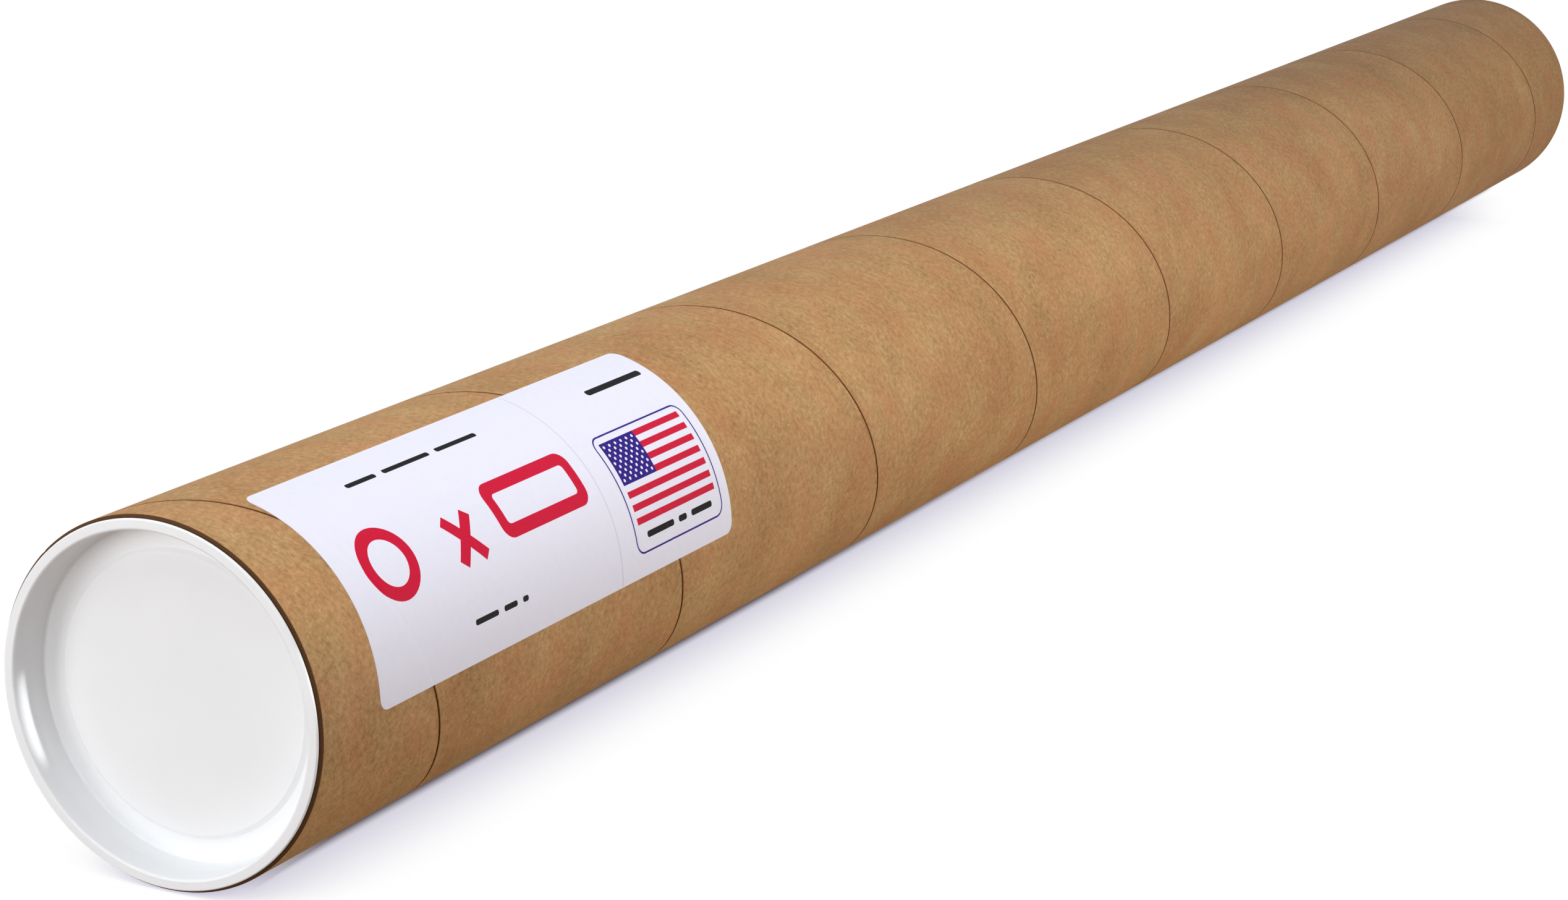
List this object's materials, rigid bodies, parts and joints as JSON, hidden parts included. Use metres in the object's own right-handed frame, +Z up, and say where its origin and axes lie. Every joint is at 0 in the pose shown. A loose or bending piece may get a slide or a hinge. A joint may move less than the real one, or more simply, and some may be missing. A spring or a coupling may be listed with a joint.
{
  "type": "mailing tube",
  "caption": "Long round kraft paperboard mailing tube with a helical ply joint, a recessed white push-in plastic cap in each end and a white paper label near one end.",
  "frame": {"origin": "centre of the circle on which the tube stands, on the lip face of the bottom cap", "axes": "+Z up along the tube's axis, -Y the side that the label faces"},
  "size_m": [0.1056, 0.1057, 1.2214],
  "materials": {
    "kraft_board": "matt natural kraft paper",
    "white_plastic": "smooth satin moulded polyethylene",
    "label_paper": "smooth coated white paper with printed fields of red and blue"
  },
  "bodies": {
    "tube_body": {"tube": "kraft_board", "label": "label_paper"},
    "top_cap_body": {"top_cap": "white_plastic"},
    "bottom_cap_body": {"bottom_cap": "white_plastic"}
  },
  "joints": [
    {"name": "top_cap_pull", "type": "slide", "parent": "tube_body", "child": "top_cap_body", "axis": [0, 0, 1], "range_m": [0, 0.03]},
    {"name": "bottom_cap_pull", "type": "slide", "parent": "tube_body", "child": "bottom_cap_body", "axis": [0, 0, -1], "range_m": [0, 0.03]}
  ]
}
